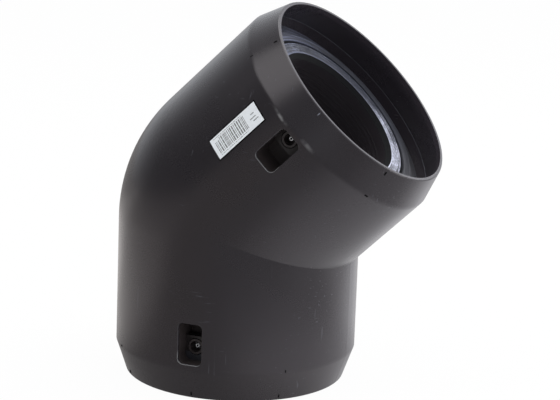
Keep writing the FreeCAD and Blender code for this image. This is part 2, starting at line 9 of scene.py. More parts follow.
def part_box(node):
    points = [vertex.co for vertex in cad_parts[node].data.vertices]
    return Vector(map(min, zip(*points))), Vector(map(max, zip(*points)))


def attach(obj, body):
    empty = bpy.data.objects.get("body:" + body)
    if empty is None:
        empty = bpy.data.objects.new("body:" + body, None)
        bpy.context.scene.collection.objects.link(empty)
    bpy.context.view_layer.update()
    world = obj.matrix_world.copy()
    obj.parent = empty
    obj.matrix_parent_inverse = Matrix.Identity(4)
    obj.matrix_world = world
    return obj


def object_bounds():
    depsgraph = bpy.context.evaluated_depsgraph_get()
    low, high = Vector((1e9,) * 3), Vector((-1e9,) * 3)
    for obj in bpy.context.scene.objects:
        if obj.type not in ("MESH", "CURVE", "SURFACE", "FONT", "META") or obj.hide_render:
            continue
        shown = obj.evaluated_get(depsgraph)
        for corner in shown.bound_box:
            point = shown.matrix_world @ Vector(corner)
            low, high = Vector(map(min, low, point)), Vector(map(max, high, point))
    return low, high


# Looks of a forty-five-degree elbow for insulated pipe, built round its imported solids.
# Places are metres in the solids' own frame: +Z up the lower arm, terminals on the -Y side.
# Sizes on an arm are millimetres. Turns round it are degrees, and angles in shaders are radians.

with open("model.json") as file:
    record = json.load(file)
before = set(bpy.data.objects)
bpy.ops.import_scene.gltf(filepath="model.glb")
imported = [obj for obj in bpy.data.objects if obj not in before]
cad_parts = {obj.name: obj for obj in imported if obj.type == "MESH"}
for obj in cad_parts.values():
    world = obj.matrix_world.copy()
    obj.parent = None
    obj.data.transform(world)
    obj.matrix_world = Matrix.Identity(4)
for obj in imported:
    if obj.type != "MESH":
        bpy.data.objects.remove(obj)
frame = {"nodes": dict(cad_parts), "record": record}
cad_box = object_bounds()
nodes = frame["nodes"]
mounts = {mount["name"]: mount for mount in frame["record"]["mounts"]}
random.seed(45)

MM = 0.001


class Arm:
    """One end of the elbow, with places given from its mouth, its axis and the terminals' side."""

    def __init__(self, mouth, outward, inside):
        self.mouth = Vector(mouth)
        self.inward = -Vector(outward).normalized()
        self.inside = Vector(inside).normalized()
        self.front = Vector((0, -1, 0))

    def radial(self, turn):
        """Direction out of the axis, from the terminals' side towards the inside of the bend."""
        angle = math.radians(turn)
        return self.front * math.cos(angle) + self.inside * math.sin(angle)

    def point(self, depth, turn, radius):
        """A place at a depth in from the mouth."""
        return self.mouth + self.inward * depth * MM + self.radial(turn) * radius * MM


UPPER_OUT = Vector(mounts["upper_mouth"]["axis"])
LOWER = Arm(mounts["lower_mouth"]["pos_m"], mounts["lower_mouth"]["axis"], (1, 0, 0))
UPPER = Arm(mounts["upper_mouth"]["pos_m"], UPPER_OUT, (UPPER_OUT.z, 0, -UPPER_OUT.x))
ARMS = {"lower": LOWER, "upper": UPPER}

# Sizes of the solids that the looks are laid on.
JACKET_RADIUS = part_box("outer_jacket")[1][1] / MM
MOUTH_RADIUS = 130.2
TAPER_LENGTH = 36.3
SOCKET_FACE = 39.5
SOCKET_RADIUS = 101
SOCKET_BORE = mounts["lower_socket"]["dims"]["r_mm"]
SOCKET_LEAD = 5.4
FACE_INNER = SOCKET_BORE + SOCKET_LEAD
FLANGE_FACE = 49.5
TERMINAL_PLACE = 57.5
WINDOW_PLACE = 67
WINDOW_WIDTH = 29
WINDOW_LENGTH = 48.5
WINDOW_CORNER = 6
WINDOW_SHIFT = 2.8
LABEL_PLACE = 92.3
LABEL_TURN = -18.4
LABEL_LENGTH = 72.5
LABEL_WIDTH = 25.3
LABEL_TOP = JACKET_RADIUS + 0.35


class Value:
    """A shader value. Python operators on it add the Math nodes that work them out."""

    def __init__(self, finish, socket):
        self.finish = finish
        self.socket = socket

    def math(self, operation, *values):
        return self.finish.node("ShaderNodeMath", {"operation": operation}, dict(enumerate(values)))

    def __add__(self, other):
        return self.math("ADD", self, other)

    def __sub__(self, other):
        return self.math("SUBTRACT", self, other)

    def __rsub__(self, other):
        return self.math("SUBTRACT", other, self)

    def __mul__(self, other):
        return self.math("MULTIPLY", self, other)

    def __truediv__(self, other):
        return self.math("DIVIDE", self, other)

    def __pow__(self, other):
        return self.math("POWER", self, other)

    def __abs__(self):
        return self.math("ABSOLUTE", self)

    def sine(self):
        return self.math("SINE", self)

    def at_least(self, low):
        return self.math("MAXIMUM", self, low)

    __radd__ = __add__
    __rmul__ = __mul__


class Nodes:
    """A node tree, with short ways to add the nodes that are used here."""

    def __init__(self, tree):
        self.tree = tree

    def node(self, kind, settings=None, inputs=None, output=0):
        """Add a node: its settings first, then the values or links of its sockets."""
        node = self.tree.nodes.new(kind)
        for name, setting in (settings or {}).items():
            setattr(node, name, setting)
        for name, value in (inputs or {}).items():
            if isinstance(value, Value):
                self.tree.links.new(value.socket, node.inputs[name])
            else:
                node.inputs[name].default_value = value
        return Value(self, node.outputs[output])

    def vector(self, operation, *values, output=0):
        return self.node("ShaderNodeVectorMath", {"operation": operation}, dict(enumerate(values)), output)

    def along(self, vector, direction):
        """How far a vector reaches along a direction, in millimetres."""
        return self.vector("DOT_PRODUCT", vector, tuple(direction), output=1) / MM

    def axes(self, vector):
        """The three parts of a vector."""
        split = self.node("ShaderNodeSeparateXYZ", {}, {0: vector}).socket.node
        return [Value(self, part) for part in split.outputs]

    def combine(self, x, y, z):
        return self.node("ShaderNodeCombineXYZ", {}, {0: x, 1: y, 2: z})

    def noise(self, vector, scale, detail=3, roughness=0.5):
        inputs = {"Vector": vector, "Scale": scale, "Detail": detail, "Roughness": roughness}
        return self.node("ShaderNodeTexNoise", {}, inputs)

    def between(self, value, low, high):
        """0 at low, 1 at high and smooth between, also where low is the greater of the two."""
        settings = {"interpolation_type": "SMOOTHSTEP"}
        inputs = {"Value": value, "From Min": low, "From Max": high}
        return self.node("ShaderNodeMapRange", settings, inputs)

    def ramp(self, value, low, high):
        """0 below low, 1 above high, even between."""
        return self.node("ShaderNodeMapRange", {}, {"Value": value, "From Min": low, "From Max": high})

    def band(self, value, low, high, soft):
        """1 from low to high, falling to 0 over soft on each side."""
        return self.between(value, low - soft, low) * (1 - self.between(value, high, high + soft))

    def mix(self, factor, first, second):
        """Mix two colours."""
        settings = {"data_type": "RGBA"}
        return self.node("ShaderNodeMix", settings, {0: factor, 6: first, 7: second}, output=2)


class Finish(Nodes):
    """A procedural material: one Principled shader and the nodes that drive it."""

    def __init__(self, name, **constants):
        self.material = bpy.data.materials.new(name)
        self.material.use_nodes = True
        super().__init__(self.material.node_tree)
        self.shader = self.tree.nodes["Principled BSDF"]
        for socket, value in constants.items():
            self.shader.inputs[socket.replace("_", " ")].default_value = value

    def place(self):
        """Where a point is, in the solids' own frame."""
        return self.node("ShaderNodeTexCoord", output="Object")

    def drive(self, **values):
        """Link values into the shader's sockets."""
        for socket, value in values.items():
            self.tree.links.new(value.socket, self.shader.inputs[socket.replace("_", " ")])

    def bump(self, height, distance):
        self.drive(Normal=self.node("ShaderNodeBump", {}, {"Height": height, "Distance": distance}))

    def arm_place(self, arm):
        """Depth in from an arm's mouth, radius from its axis, and angle round it."""
        away = self.vector("SUBTRACT", self.place(), tuple(arm.mouth))
        depth = self.along(away, arm.inward)
        across = self.along(away, arm.inside)
        ahead = self.along(away, arm.front)
        radius = (across * across + ahead * ahead) ** 0.5
        return depth, radius, across.math("ARCTAN2", across, ahead)


def grey(level, tint=(1.0, 1.0, 1.0)):
    """A linear colour from a display level of 0 to 255."""
    linear = (level / 255) ** 2.2
    return (linear * tint[0], linear * tint[1], linear * tint[2], 1.0)


# Whole colours.
WHITE = (1.0, 1.0, 1.0, 1.0)
BLACK = (0.0, 0.0, 0.0, 1.0)
PLUM_SHEEN = (1.0, 0.95, 0.98, 1.0)
# Tints of a grey.
COOL = (0.95, 0.97, 1.15)
PLUM = (1.16, 0.86, 1.14)
DARK_PLUM = (1.1, 0.92, 1.08)
LIFTED_INNER_PLUM = (1.1, 0.92, 1.12)
PALE_PLUM = (1.0, 0.98, 1.0)
BLUE = (0.88, 0.95, 1.35)
BROWN = (1.15, 0.92, 0.9)
FOAM_LIGHT = (1.1, 0.9, 0.5)
FOAM_DARK = (1.1, 0.85, 0.45)
FILM_DARK = (0.97, 1.0, 1.03)
FILM_LIGHT = (0.97, 0.99, 1.0)

# Fine scratches in two directions: how noise is drawn out, its fineness and the peaks that are kept.
SCRATCHES = [
    ((0.05, 0.6, 1.0), 420, 0.68),
    ((1.0, 0.5, 0.04), 380, 0.69),
]


def hairlines(finish, place):
    """Sparse fine scratches: the peaks of drawn-out noise, in a few patches."""
    lines = []
    for stretch, fine, keep in SCRATCHES:
        drawn = finish.noise(finish.vector("MULTIPLY", place, stretch), fine, detail=2)
        where = finish.noise(place, 14, detail=2)
        lines.append(finish.between(drawn, keep, keep + 0.05) * finish.between(where, 0.5, 0.62))
    return sum(lines)


# Pale patches on the upper arm. The first three are painted highlights on the rounded edge where the taper
# starts, beside the window; the last is a pale rub. Columns: turn and depth of the middle, their half
# sizes, and how strong it is.
RUBS_AND_HIGHLIGHTS = [
    (-9.5, 38.0, 7.5, 3.0, 0.34),
    (-8.4, 38.6, 3.6, 2.6, 0.30),
    (8.6, 35.6, 5.2, 3.6, 0.34),
    (79.0, 129.0, 5.0, 5.0, 0.45),
]


def rubs_and_highlights(finish):
    """Soft pale patches that fade from their middles: painted highlights and a pale rub."""
    depth, radius, angle = finish.arm_place(UPPER)
    turn = angle / math.pi * 180
    patches = []
    for middle_turn, middle_depth, half_turn, half_depth, paleness in RUBS_AND_HIGHLIGHTS:
        aside = finish.between(abs(turn - middle_turn), half_turn, 0.0)
        along = finish.between(abs(depth - middle_depth), half_depth, 0.0)
        patches.append(aside * along * paleness)
    return sum(patches)


SOFT_WIDTH = 3.0


def taper_softness(finish):
    """How much of the edge where a taper starts is worn round: 1 on the edge, falling to 0 beside it."""
    shares = []
    for arm in ARMS.values():
        depth, radius, angle = finish.arm_place(arm)
        share = (1 - abs(depth - TAPER_LENGTH) / SOFT_WIDTH).at_least(0.0)
        shares.append(share * share)
    return sum(shares)


# The pale edge of a window, a faint burr all round and a painted highlight along its lower left: its
# width, the direction in which the painted highlight is strongest, and where that starts and is full.
PALE_EDGE_WIDTH = 0.5
HIGHLIGHT_SIDE = (-0.42, 0.0, -0.91)
HIGHLIGHT_START = 13.0
HIGHLIGHT_FULL = 19.0
# How far ahead of an arm's axis a place has to be to lie on the windows' side.
FRONT_START = 90.0
FRONT_FULL = 100.0


def window_burr_and_highlight(finish):
    """A pale edge round each window: a painted highlight along the lower left, where the rounded edge
    catches the light, over a faint burr on all its sides.
    """
    edges = []
    for arm in ARMS.values():
        depth, radius, angle = finish.arm_place(arm)
        middle = arm.point(WINDOW_PLACE, 0, JACKET_RADIUS) + arm.inside * WINDOW_SHIFT * MM
        away = finish.vector("SUBTRACT", finish.place(), tuple(middle))
        along = finish.along(away, arm.inward)
        across = finish.along(away, arm.inside)
        ahead = finish.along(away, arm.front) + JACKET_RADIUS
        over_side = (abs(across) - (WINDOW_WIDTH / 2 - WINDOW_CORNER)).at_least(0.0)
        over_end = (abs(along) - (WINDOW_LENGTH / 2 - WINDOW_CORNER)).at_least(0.0)
        outside = (over_side * over_side + over_end * over_end) ** 0.5 - WINDOW_CORNER
        # Painted highlight, strongest along the lower left; the small even share is the faint burr.
        torn = finish.between(finish.along(away, HIGHLIGHT_SIDE), HIGHLIGHT_START, HIGHLIGHT_FULL) * 0.85 + 0.15
        on_skin = finish.between(radius, JACKET_RADIUS - 2.0, JACKET_RADIUS - 1.0)
        edge = finish.band(outside, 0.0, PALE_EDGE_WIDTH, 0.3) * torn
        edges.append(edge * finish.between(ahead, FRONT_START, FRONT_FULL) * on_skin)
    return sum(edges)


INSIDE_END = 100.0


def lifted_inside(finish):
    """1 on the jacket's inside near its two mouths and behind its windows, 0 on its outside: where the
    shaded inside is painted lighter, as painted light.
    """
    sides = []
    for arm in ARMS.values():
        depth, radius, angle = finish.arm_place(arm)
        skin = MOUTH_RADIUS + (JACKET_RADIUS - MOUTH_RADIUS) * finish.ramp(depth, 0, TAPER_LENGTH)
        near = finish.band(depth, -1.0, INSIDE_END, 1.0)
        sides.append(near * (1 - finish.between(radius - skin, -2.4, -1.4)))
    return sum(sides)


def jacket_plastic():
    """Black moulded plastic with a satin skin, faint mottling, hairline scratches and a pale rub, with
    painted highlights by the upper taper and round the windows, and painted light on its shaded inside.
    """
    finish = Finish("jacket_plastic", Specular_IOR_Level=0.75, Specular_Tint=PLUM_SHEEN)
    place = finish.place()
    mottle = finish.noise(place, 9, detail=4)
    grain = finish.noise(place, 1400, detail=2)
    waviness = finish.noise(place, 26, detail=2)
    scratch = hairlines(finish, place)
    # Pale patches: painted highlights where the upper taper starts, and one pale rub.
    rub_and_highlight = rubs_and_highlights(finish) * finish.between(finish.noise(place, 150, detail=3), 0.25, 0.6)
    colour = finish.mix(mottle, grey(24, PLUM), grey(33, PLUM))
    colour = finish.mix(rub_and_highlight, colour, grey(150))
    colour = finish.mix(scratch * 0.25, colour, grey(110, COOL))
    # Painted light: the shaded inside of the jacket is painted a lighter grey than its outside.
    colour = finish.mix(lifted_inside(finish), colour, grey(53, LIFTED_INNER_PLUM))
    # Painted highlight along each window's lower left edge, over a faint pale burr round it.
    colour = finish.mix(window_burr_and_highlight(finish) * 0.55, colour, grey(150))
    skin = mottle * 0.08 + grain * 0.03 + scratch * 0.1 + rub_and_highlight * 0.3 + 0.22
    finish.drive(Base_Color=colour, Roughness=skin)
    height = grain * 0.05 + waviness + scratch * -0.3 - taper_softness(finish) * 2.0
    finish.bump(height, 0.00012)
    return finish.material


def turned_rings(finish, radius, angle, fine):
    """Fine concentric tool marks that waver round a turned face."""
    waver = finish.combine(radius / 10 * fine, angle * 0.5, 0.0)
    return finish.noise(waver, 1.0, detail=4, roughness=0.6)


# The terminals' blocks and shrouds lie further out than this radius, and between these depths.
TERMINAL_LOW = 87.0
TERMINAL_START = 45.0
TERMINAL_END = 95.0


def terminal_side(finish):
    """1 on the terminals' blocks and shrouds, 0 on the rest of the inner elbow."""
    shares = []
    for arm in ARMS.values():
        depth, radius, angle = finish.arm_place(arm)
        outside = finish.between(radius, TERMINAL_LOW - 1, TERMINAL_LOW + 1)
        shares.append(outside * finish.band(depth, TERMINAL_START, TERMINAL_END, 1.0))
    return sum(shares)


def face_scraping(finish, place, arm):
    """Where a socket's face lies, how scraped it is, and its part towards the inside of the bend."""
    depth, radius, angle = finish.arm_place(arm)
    face = finish.band(depth, SOCKET_FACE - 1, SOCKET_FACE + 0.4, 0.4)
    face = face * finish.band(radius, FACE_INNER, SOCKET_RADIUS, 0.3)
    rim = finish.band(depth, SOCKET_FACE - 1, SOCKET_FACE + 2.0, 0.4)
    marks = turned_rings(finish, radius, angle, 6)
    patch = finish.noise(finish.combine(radius * 0.02, angle * 2.2, 0.3), 1.6, detail=4)
    torn = finish.between(finish.noise(place, 380, detail=3), 0.38, 0.6)
    towards = finish.between(angle.sine(), -0.15, 0.6)
    worn = marks * 0.8 + patch * 0.4 + towards * 0.1
    share = face * finish.between(worn, 0.6, 0.76) * (torn * 0.55 + 0.45)
    burr = face * finish.band(radius, FACE_INNER, FACE_INNER + 0.7, 0.3)
    share = share + burr * (1 - share)
    corner = finish.band(radius, SOCKET_RADIUS - 1.4, SOCKET_RADIUS + 0.3, 0.3) * rim
    share = share + corner * (1 - share) * (torn * 0.6 + 0.2)
    return face, share, rim * towards


def elbow_plastic():
    """The inner elbow's black plastic, dull, with pale scraping on the sockets' faces; its base greys are
    painted lighter than black, as painted light in the shaded bores.
    """
    finish = Finish("elbow_plastic", Specular_IOR_Level=0.45)
    place = finish.place()
    mottle = finish.noise(place, 30, detail=3)
    by_arm = [face_scraping(finish, place, arm) for arm in ARMS.values()]
    flat, scraped, bright = (sum(shares) for shares in zip(*by_arm))
    # Painted light: black plastic painted a lighter grey to lift the shade in the bores.
    colour = finish.mix(mottle, grey(47, DARK_PLUM), grey(55, DARK_PLUM))
    colour = finish.mix(terminal_side(finish), colour, grey(66, BROWN))
    colour = finish.mix(flat, colour, grey(58, BLUE))
    pale = finish.mix(bright, grey(122, BLUE), grey(222, COOL))
    colour = finish.mix(scraped * 0.88, colour, pale)
    finish.drive(Base_Color=colour, Roughness=scraped * 0.3 + mottle * 0.15 + 0.4)
    finish.bump(finish.noise(place, 500, detail=3) + scraped * 2, 0.00015)
    return finish.material


def ring_marks(finish, arm):
    """A ring's smears away from the bend, its rub towards the bend, and its side at the mouth."""
    depth, radius, angle = finish.arm_place(arm)
    towards = radius * angle.sine()
    marks = turned_rings(finish, radius, angle, 5)
    front = finish.band(depth, SOCKET_FACE - 1, SOCKET_FACE + 1, 1)
    front = front + finish.band(depth, FLANGE_FACE - 1, FLANGE_FACE + 1, 1)
    lines = front * (finish.between(marks, 0.47, 0.6) * 0.85 + 0.12)
    smears = lines * (finish.between(towards, -60, -112) * 0.75 + 0.15)
    rubbed = lines * finish.between(towards, 50, 110)
    mouth_side = finish.band(depth, SOCKET_FACE - 2, FLANGE_FACE + 1, 0.5)
    return smears, rubbed, mouth_side


def ring_plastic():
    """Dark blue-grey plastic with concentric marks and pale smears."""
    finish = Finish("ring_plastic", Specular_IOR_Level=0.5)
    place = finish.place()
    by_arm = [ring_marks(finish, arm) for arm in ARMS.values()]
    smears, rubbed, mouth_side = (sum(shares) for shares in zip(*by_arm))
    cool = finish.mix(finish.noise(place, 60), grey(56, COOL), grey(68, COOL))
    colour = finish.mix(mouth_side, grey(46, BROWN), cool)
    colour = finish.mix(smears * 0.75, colour, grey(150, BLUE))
    colour = finish.mix(rubbed * 0.7, colour, grey(125, PALE_PLUM))
    finish.drive(Base_Color=colour, Roughness=finish.noise(place, 80) * 0.2 + 0.3)
    finish.bump(smears + finish.noise(place, 400), 0.0001)
    return finish.material


def well_plastic():
    """Black plastic of the terminal wells, painted a lighter brown-grey as painted light in the shaded
    wells.
    """
    finish = Finish("well_plastic", Specular_IOR_Level=0.45)
    place = finish.place()
    mottle = finish.noise(place, 90, detail=3)
    # Painted light: the wells' black plastic painted a lighter brown-grey to lift their shade.
    colour = finish.mix(mottle, grey(68, BROWN), grey(78, BROWN))
    finish.drive(Base_Color=colour, Roughness=mottle * 0.2 + 0.45)
    finish.bump(finish.noise(place, 900, detail=2), 0.00008)
    return finish.material


FOAM_SKIN_END = 96


def foam():
    """Rigid yellow-brown foam with fine closed cells, with a dark skin where it meets the rings."""
    finish = Finish("foam", Specular_IOR_Level=0.2)
    place = finish.place()
    cells = finish.node("ShaderNodeTexVoronoi", {"feature": "F1"}, {"Vector": place, "Scale": 900})
    tone = finish.noise(place, 40, detail=3)
    colour = finish.mix(tone, grey(190, FOAM_LIGHT), grey(165, FOAM_DARK))
    for arm in ARMS.values():
        depth, radius, angle = finish.arm_place(arm)
        colour = finish.mix(finish.band(depth, 0, FOAM_SKIN_END, 2), colour, grey(40, BROWN))
    finish.drive(Base_Color=colour, Roughness=tone * 0.1 + 0.85)
    finish.bump(cells, 0.0006)
    return finish.material


# The painted shade down the hole in a pin's tip: the radius where it is fully dark, and where its edge
# ends.
PIN_HOLE = 1.1
PIN_HOLE_EDGE = 1.4


def pin_metal():
    """Bright plated metal with faint turning marks, with painted shade down the hole in a pin's tip."""
    finish = Finish("pin_metal", Metallic=0.35)
    place = finish.place()
    across, behind, height = finish.axes(place)
    tone = finish.noise(place, 700, detail=3)
    colour = finish.mix(tone, grey(255), grey(248))
    for arm in ARMS.values():
        middle = arm.point(TERMINAL_PLACE, 0, SOCKET_RADIUS)
        aside = ((across - middle.x) ** 2 + (height - middle.z) ** 2) ** 0.5 / MM
        # Painted shade: dark grey down the hole, where the metal lies in shade.
        colour = finish.mix(finish.between(aside, PIN_HOLE_EDGE, PIN_HOLE), colour, grey(18))
    finish.drive(Base_Color=colour, Roughness=tone * 0.15 + 0.4)
    finish.bump(finish.noise(place, 2500), 0.00003)
    return finish.material


def heating_wire():
    """Drawn wire, dulled nearly to the tone of the bores that it lies in."""
    finish = Finish("heating_wire", Specular_IOR_Level=0.4)
    place = finish.place()
    tone = finish.noise(place, 500, detail=3)
    colour = finish.mix(tone, grey(52, DARK_PLUM), grey(46, DARK_PLUM))
    finish.drive(Base_Color=colour, Roughness=tone * 0.15 + 0.45)
    finish.bump(finish.noise(place, 2500), 0.00003)
    return finish.material


def label_film():
    """White film, faintly uneven."""
    finish = Finish("label_film", Specular_IOR_Level=0.4)
    place = finish.place()
    tone = finish.noise(place, 60, detail=4)
    colour = finish.mix(tone, grey(248, FILM_DARK), grey(254, FILM_LIGHT))
    finish.drive(Base_Color=colour, Roughness=tone * 0.2 + 0.4)
    finish.bump(finish.noise(place, 120), 0.00005)
    return finish.material


def label_ink():
    """Grey print with uneven cover."""
    finish = Finish("label_ink", Specular_IOR_Level=0.3)
    tone = finish.noise(finish.place(), 300, detail=3)
    finish.drive(Base_Color=finish.mix(tone, grey(104), grey(150)), Roughness=tone * 0.2 + 0.5)
    return finish.material


def plain_plastic(name, level, rough, shine=0.4):
    """Plastic of one tone, a little uneven."""
    finish = Finish(name, Specular_IOR_Level=shine)
    tone = finish.noise(finish.place(), 300, detail=3)
    colour = finish.mix(tone, grey(level, COOL), grey(level * 1.2, COOL))
    finish.drive(Base_Color=colour, Roughness=tone * 0.2 + rough)
    return finish.material


def dress(node, material):
    """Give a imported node's material slots a finish of this script."""
    for slot in nodes[node].material_slots:
        slot.material = material


def piece(name, verts, faces, material, slot, smooth=True):
    """A mesh piece that rides with the elbow."""
    mesh = bpy.data.meshes.new(name)
    mesh.from_pydata(verts, [], faces)
    mesh.materials.append(material)
    for face in mesh.polygons:
        face.use_smooth = smooth
    mesh.update()
    thing = bpy.data.objects.new(name, mesh)
    bpy.context.collection.objects.link(thing)
    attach(thing, "root")


def slab(arm, depths, turns, radii, steps=6):
    """Vertices and faces of a thin curved slab on an arm, from its ranges of depth, turn and radius."""
    verts = []
    for number in range(steps + 1):
        turn = turns[0] + (turns[1] - turns[0]) * number / steps
        for depth, radius in ((depths[0], radii[0]), (depths[1], radii[0]), (depths[1], radii[1]),
                              (depths[0], radii[1])):
            verts.append(arm.point(depth, turn, radius))
    faces = []
    for number in range(steps):
        first = 4 * number
        for side in range(4):
            after = (side + 1) % 4
            faces.append((first + side, first + after, first + 4 + after, first + 4 + side))
    last = 4 * steps
    faces += [(3, 2, 1, 0), (last, last + 1, last + 2, last + 3)]
    return verts, faces


def swept(arm, steps, profile, closed=False):
    """Vertices and faces of a skin round an arm: profile gives its depths and radii at each turn."""
    turns = [360 * step / steps for step in range(steps)]
    rows = [profile(turn) for turn in turns]
    count = len(rows[0])
    verts = [arm.point(depth, turn, radius) for turn, row in zip(turns, rows) for depth, radius in row]
    faces = []
    for step in range(steps):
        here = step * count
        ahead = (step + 1) % steps * count
        for low in range(count if closed else count - 1):
            high = (low + 1) % count
            faces.append((here + low, ahead + low, ahead + high, here + high))
    return verts, faces


def joined(parts):
    """One list of vertices and faces from several."""
    verts = []
    faces = []
    for more_verts, more_faces in parts:
        faces += [tuple(index + len(verts) for index in face) for face in more_faces]
        verts += more_verts
    return verts, faces


def on_label(along, across):
    """Depth and turn of a place on the label, given from its lower end and from its middle line."""
    depth = LABEL_PLACE + LABEL_LENGTH / 2 - along
    turn = LABEL_TURN - math.degrees(across / JACKET_RADIUS)
    return depth, turn


# The label's block of bars: where it starts and ends, its two even rows, and a third row that
# is shorter at the start.
PRINT_START = 5.0
BARS_END = 51.0
BAR_ROWS = [(-8.2, -2.4), (-1.9, 3.6)]
THIRD_ROW_LOW = 4.1
THIRD_ROW_SHORT = 6.0
THIRD_ROW_HIGH = 8.8
SHORT_BARS_END = 12
BAR_WIDTHS = (0.7, 1.0, 1.0, 1.7)
BAR_GAPS = (0.7, 1.0, 1.5)
# Thin broken lines on both sides of the block: how far across, half width, and where they end.
BROKEN_LINES = (10.4, -10.0)
BROKEN_HALF = 0.3
BROKEN_END = 49.0
# Short lines at the upper end: how far across, start and length.
SHORT_LINES = [(2.6, 61.0, 5.0), (-1.8, 57.5, 9.0), (-5.4, 60.5, 8.0)]
SHORT_HALF = 0.5


def print_on_label(ink):
    """A block of plain bars on the label, thin broken lines beside it and three short lines."""
    bars = []

    def bar(start, end, low, high):
        near, first = on_label(start, high)
        far, last = on_label(end, low)
        bars.append(slab(UPPER, (far, near), (first, last), (LABEL_TOP - 0.02, LABEL_TOP + 0.03)))

    along = PRINT_START
    while along < BARS_END:
        width = random.choice(BAR_WIDTHS)
        top = THIRD_ROW_HIGH if along > SHORT_BARS_END else THIRD_ROW_SHORT
        for low, high in BAR_ROWS + [(THIRD_ROW_LOW, top)]:
            bar(along, along + width, low, high)
        along += width + random.choice(BAR_GAPS)
    for across in BROKEN_LINES:
        along = PRINT_START
        while along < BROKEN_END:
            length = random.uniform(1.0, 3.4)
            bar(along, along + length, across - BROKEN_HALF, across + BROKEN_HALF)
            along += length + random.uniform(0.6, 1.2)
    for across, start, length in SHORT_LINES:
        bar(start, start + length, across - SHORT_HALF, across + SHORT_HALF)
    piece("label_bars", *joined(bars), ink, "label_film", smooth=False)


# How far the painted shadow round the label reaches beyond its edge.
SHADOW_MARGIN = 1.5


def add_label_shadow(material):
    """A dark line painted all round the label as the shadow at its edge."""
    near, first = on_label(-SHADOW_MARGIN, LABEL_WIDTH / 2 + SHADOW_MARGIN)
    far, last = on_label(LABEL_LENGTH + SHADOW_MARGIN, -LABEL_WIDTH / 2 - SHADOW_MARGIN)
    radii = (JACKET_RADIUS - 0.05, JACKET_RADIUS + 0.09)
    skin = slab(UPPER, (far, near), (first, last), radii, 8)
    piece("label_edge", *skin, material, "label_film", smooth=False)


def taper_radius(depth):
    """The jacket's outer radius at a depth."""
    share = min(depth / TAPER_LENGTH, 1.0)
    return MOUTH_RADIUS + (JACKET_RADIUS - MOUTH_RADIUS) * share


# Small moulded ticks near the mouths: arm, depth, turn, length along the arm and width round it.
TICKS = [
    ("upper", 6.5, -46.0, 3.6, 1.4),
    ("upper", 4.4, 1.0, 3.4, 1.1),
    ("upper", 5.5, 47.0, 4.0, 1.6),
    ("upper", 36.3, 45.7, 1.7, 4.8),
    ("upper", 36.0, -44.7, 3.4, 1.2),
    ("lower", 37.3, -46.9, 1.6, 3.4),
    ("lower", 38.0, 47.1, 3.0, 1.2),
    ("lower", 5.0, -46.0, 3.6, 1.3),
    ("lower", 5.0, 1.0, 3.6, 1.3),
    ("lower", 5.0, 46.0, 3.6, 1.3),
]
LIGHT_TICK = ("upper", 1.0)
TICK_SUNK = 0.2
TICK_RAISED = 0.3


def add_ticks(dark, light):
    """Thin raised marks that follow the skin, dark but for the one at the front of the upper mouth."""
    marks = {True: [], False: []}
    for name, depth, turn, length, width in TICKS:
        arm = ARMS[name]
        half = math.degrees(width / 2 / JACKET_RADIUS)
        first, last = depth - length / 2, depth + length / 2
        low, high = taper_radius(first), taper_radius(last)
        radii = (low - TICK_SUNK, low + TICK_RAISED)
        verts, faces = slab(arm, (first, last), (turn - half, turn + half), radii, 3)
        for vert in verts:
            into = (vert - arm.mouth).dot(arm.inward)
            away = (vert - arm.mouth) - arm.inward * into
            vert += away.normalized() * (into - first * MM) * (high - low) / length
        marks[(name, turn) == LIGHT_TICK].append((verts, faces))
    piece("jacket_ticks", *joined(marks[False]), dark, "jacket_plastic", smooth=False)
    piece("jacket_tick_light", *joined(marks[True]), light, "jacket_plastic", smooth=False)


# The line of flash: its depth, the radius that it stands on, its height and half its width.
FLASH_PLACE = 36.3
FLASH_RADIUS = 138.55
FLASH_HEIGHT = 0.55
FLASH_HALF = 0.35


def add_flash_line(name, material):
    """The fine line of flash where a taper's inside meets the straight bore of the jacket: a raised ridge,
    coloured pale as a painted highlight along it.
    """
    profile = [(FLASH_PLACE - FLASH_HALF, FLASH_RADIUS), (FLASH_PLACE + FLASH_HALF, FLASH_RADIUS),
               (FLASH_PLACE, FLASH_RADIUS - FLASH_HEIGHT)]
    skin = swept(ARMS[name], 240, lambda turn: profile, closed=True)
    piece(f"flash_line_{name}", *skin, material, "jacket_plastic")


FURROWS = 26


def add_scraped_face(name, material):
    """The scraped face of a socket: shallow uneven furrows round the bore, with torn edges."""
    inner = FACE_INNER + 0.2
    outer = SOCKET_RADIUS - 1.0
    phase = [random.uniform(0, math.tau) for _ in range(FURROWS + 1)]
    height_of = [random.uniform(0.02, 0.34) for _ in range(FURROWS + 1)]

    def furrows(turn):
        """The furrows at a turn, between two edges that are sunk into the solid's face."""
        angle = math.radians(turn)
        row = []
        for furrow in range(1, FURROWS):
            start = phase[furrow]
            wander = 0.25 * math.sin(3 * angle + start) + 0.15 * math.sin(11 * angle + 2 * start)
            height = height_of[furrow] * (0.65 + 0.35 * math.sin(5 * angle + start))
            height += 0.08 * math.sin(37 * angle + 3 * start)
            row.append((SOCKET_FACE - height, inner + (outer - inner) * furrow / FURROWS + wander))
        return [(SOCKET_FACE + 0.1, inner)] + row + [(SOCKET_FACE + 0.1, outer)]

    piece(f"scraped_face_{name}", *swept(ARMS[name], 720, furrows), material, "elbow_plastic")


LEAD_LIFT = 0.12


def add_lead_in_shade(name, material):
    """A smooth, dark sheet a hair above the solid's own cone of a socket's lead-in: painted shade, so that
    the lead-in shows as dark as the shaded bore.
    """
    profile = []
    for share in (0.02, 0.5, 1.0):
        step = SOCKET_LEAD * share
        profile.append((SOCKET_FACE + step - LEAD_LIFT, FACE_INNER - step - LEAD_LIFT))
    skin = swept(ARMS[name], 360, lambda turn: profile)
    piece(f"lead_in_{name}", *skin, material, "elbow_plastic")


FLOOR_REACH = 9.0
FLOOR_GAP = 0.0003
# How much of what the camera sees of the floor is plain white, the rest being its shaded paint.
FLOOR_GLOW = 0.97
